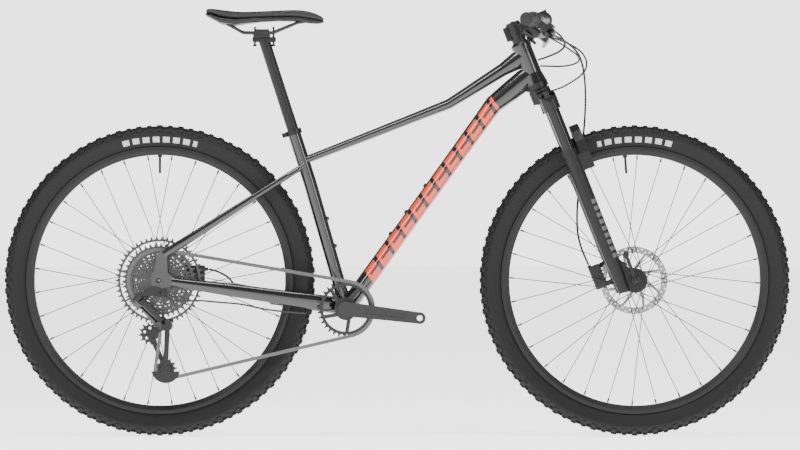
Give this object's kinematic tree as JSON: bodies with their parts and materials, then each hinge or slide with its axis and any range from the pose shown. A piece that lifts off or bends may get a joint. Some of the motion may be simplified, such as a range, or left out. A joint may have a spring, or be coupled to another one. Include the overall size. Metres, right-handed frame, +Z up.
{
  "type": "mountain bike",
  "caption": "Rigid-rear trail bicycle with a suspension fork, wide bar, disc brakes, wide-range rear gearing and knobbly large tyres; pedals not fitted.",
  "frame": {"origin": "on the ground midway between the axles, in the centre plane", "axes": "+X forward, +Y to the rider's left, +Z up"},
  "size_m": [1.8586, 0.7446, 1.0101],
  "materials": {
    "frame_paint": "gloss black paint under clear coat",
    "black_alloy": "black anodised",
    "fork_coating": "black sliding coating",
    "fork_paint": "satin black paint",
    "black_steel": "blackened steel",
    "spoke_steel": "black stainless",
    "rotor_steel": "brushed",
    "chain_steel": "oiled",
    "tyre_rubber": "matt moulded rubber",
    "grip_rubber": "ribbed rubber",
    "saddle_cover": "synthetic leather",
    "moulded_plastic": "fine texture",
    "cable_housing": "smooth"
  },
  "bodies": {
    "frame": {"head_tube": "frame_paint", "top_tube": "frame_paint", "down_tube": "frame_paint", "seat_tube": "frame_paint", "bottom_bracket_shell": "frame_paint", "chainstays": "frame_paint", "seatstays": "frame_paint", "dropouts": "frame_paint", "seat_collar": "black_alloy", "headset_cups": "black_alloy", "frame_fittings": "cable_housing", "bottom_bracket_cups": "black_alloy", "rear_axle": "black_alloy", "rear_caliper": "moulded_plastic", "b_knuckle": "black_alloy", "chain": "chain_steel"},
    "seatpost": {"seatpost": "black_alloy", "saddle_rails": "black_steel", "saddle_shell": "moulded_plastic", "saddle_cover": "saddle_cover"},
    "steering": {"headset_spacers": "black_alloy", "fork_crown": "black_alloy", "stanchions": "fork_coating", "stem": "black_alloy", "handlebar": "black_alloy", "grips": "grip_rubber", "lever_bodies": "moulded_plastic", "shifter_body": "moulded_plastic", "lockout_remote": "moulded_plastic", "control_cables": "cable_housing", "front_brake_hose": "cable_housing"},
    "brake_lever_right": {"brake_lever_right": "black_steel"},
    "brake_lever_left": {"brake_lever_left": "black_steel"},
    "shift_thumb_lever": {"shift_thumb_lever": "black_steel"},
    "shift_release_lever": {"shift_release_lever": "black_steel"},
    "lockout_lever": {"lockout_lever": "moulded_plastic"},
    "fork_lowers": {"fork_lowers": "fork_paint", "front_caliper": "moulded_plastic", "front_axle": "black_alloy"},
    "axle_lever": {"axle_lever": "black_alloy"},
    "front_wheel": {"front_tyre": "tyre_rubber", "front_rim": "black_alloy", "front_spokes": "spoke_steel", "front_hub": "black_alloy", "front_rotor": "rotor_steel"},
    "rear_wheel": {"rear_tyre": "tyre_rubber", "rear_rim": "black_alloy", "rear_spokes": "spoke_steel", "rear_hub": "black_alloy", "rear_rotor": "rotor_steel"},
    "cassette": {"cassette": "black_steel"},
    "crank": {"crank_arm_right": "black_alloy", "crank_arm_left": "black_alloy", "chainring": "black_steel"},
    "derailleur_link_outer": {"derailleur_link_outer": "black_alloy"},
    "derailleur_link_inner": {"derailleur_link_inner": "black_alloy"},
    "p_knuckle": {"p_knuckle": "black_alloy"},
    "cage": {"cage": "black_steel"},
    "guide_pulley": {"guide_pulley": "moulded_plastic"},
    "tension_pulley": {"tension_pulley": "moulded_plastic"}
  },
  "joints": [
    {"name": "seatpost_height", "type": "slide", "parent": "frame", "child": "seatpost", "axis": [-0.3069, 0, 0.9518], "range_m": [-0.02, 0.03]},
    {"name": "steering", "type": "hinge", "parent": "frame", "child": "steering", "pos_m": [0.33383, 0, 0.8199], "axis": [-0.3665, 0, 0.9304], "range_deg": [-70, 70], "deforming": ["control_cables"]},
    {"name": "fork_travel", "type": "slide", "parent": "steering", "child": "fork_lowers", "axis": [-0.3665, 0, 0.9304], "range_m": [0, 0.1], "stiffness_N_per_m": 4000, "springref_m": -0.02, "deforming": ["front_brake_hose"]},
    {"name": "front_wheel_spin", "type": "hinge", "parent": "fork_lowers", "child": "front_wheel", "pos_m": [0.5615, 0, 0.368], "axis": [0, 1, 0], "continuous": true},
    {"name": "rear_wheel_spin", "type": "hinge", "parent": "frame", "child": "rear_wheel", "pos_m": [-0.5615, 0, 0.368], "axis": [0, 1, 0], "continuous": true},
    {"name": "crank_spin", "type": "hinge", "parent": "frame", "child": "crank", "pos_m": [-0.12079, 0, 0.3015], "axis": [0, 1, 0], "continuous": true, "deforming": ["chain"]},
    {"name": "cassette_spin", "type": "hinge", "parent": "frame", "child": "cassette", "pos_m": [-0.5615, 0, 0.368], "axis": [0, 1, 0], "continuous": true, "deforming": ["chain"]},
    {"name": "derailleur_shift", "type": "hinge", "parent": "frame", "child": "derailleur_link_outer", "pos_m": [-0.6, -0.09, 0.318], "axis": [0.5574, 0.4644, 0.6883], "range_deg": [-30, 3], "deforming": ["chain"]},
    {"name": "derailleur_inner_pivot", "type": "hinge", "parent": "frame", "child": "derailleur_link_inner", "pos_m": [-0.60678, -0.07605, 0.31408], "axis": [0.5574, 0.4644, 0.6883], "range_deg": [-31, 4], "deforming": ["chain"]},
    {"name": "p_knuckle_pivot", "type": "hinge", "parent": "derailleur_link_outer", "child": "p_knuckle", "pos_m": [-0.554, -0.08, 0.274], "axis": [0.5574, 0.4644, 0.6883], "range_deg": [-4, 31], "deforming": ["chain"]},
    {"name": "cage_swing", "type": "hinge", "parent": "p_knuckle", "child": "cage", "pos_m": [-0.5421, -0.0336, 0.2627], "axis": [0, 1, 0], "range_deg": [-30, 8], "stiffness_Nm_per_rad": 2, "deforming": ["chain"]},
    {"name": "guide_pulley_spin", "type": "hinge", "parent": "cage", "child": "guide_pulley", "pos_m": [-0.58363, -0.0336, 0.24287], "axis": [0, 1, 0], "continuous": true, "deforming": ["chain"]},
    {"name": "tension_pulley_spin", "type": "hinge", "parent": "cage", "child": "tension_pulley", "pos_m": [-0.54637, -0.0336, 0.15978], "axis": [0, 1, 0], "continuous": true, "deforming": ["chain"]},
    {"name": "brake_right", "type": "hinge", "parent": "steering", "child": "brake_lever_right", "pos_m": [0.35611, -0.20941, 0.94865], "axis": [-0.6117, 0.1128, -0.783], "range_deg": [0, 18], "stiffness_Nm_per_rad": 3, "springref_deg": -4.58},
    {"name": "brake_left", "type": "hinge", "parent": "steering", "child": "brake_lever_left", "pos_m": [0.35611, 0.20941, 0.94865], "axis": [0.6117, 0.1128, 0.783], "range_deg": [0, 18], "stiffness_Nm_per_rad": 3, "springref_deg": -4.58},
    {"name": "shift_thumb", "type": "hinge", "parent": "steering", "child": "shift_thumb_lever", "pos_m": [0.3133, -0.17059, 0.93915], "axis": [0.6117, -0.1128, 0.783], "range_deg": [0, 25], "stiffness_Nm_per_rad": 1, "springref_deg": -5.73},
    {"name": "shift_release", "type": "hinge", "parent": "steering", "child": "shift_release_lever", "pos_m": [0.30963, -0.16992, 0.93446], "axis": [0.6117, -0.1128, 0.783], "range_deg": [0, 12], "stiffness_Nm_per_rad": 1, "springref_deg": -5.73},
    {"name": "lockout_turn", "type": "hinge", "parent": "steering", "child": "lockout_lever", "pos_m": [0.30812, 0.1765, 0.95768], "axis": [-0.6117, -0.1128, -0.783], "range_deg": [-25, 0], "stiffness_Nm_per_rad": 0.8, "springref_deg": 5.73},
    {"name": "axle_lever_flip", "type": "hinge", "parent": "fork_lowers", "child": "axle_lever", "pos_m": [0.5615, -0.084, 0.368], "axis": [0.9304, 0, 0.3665], "range_deg": [0, 90]}
  ],
  "couplings": [
    {"joint": "cassette_spin", "follows": "crank_spin", "ratio": 0.88889},
    {"joint": "guide_pulley_spin", "follows": "crank_spin", "ratio": -2.6667},
    {"joint": "tension_pulley_spin", "follows": "crank_spin", "ratio": 2.6667},
    {"joint": "derailleur_inner_pivot", "follows": "derailleur_shift", "ratio": 1},
    {"joint": "p_knuckle_pivot", "follows": "derailleur_shift", "ratio": -1}
  ]
}
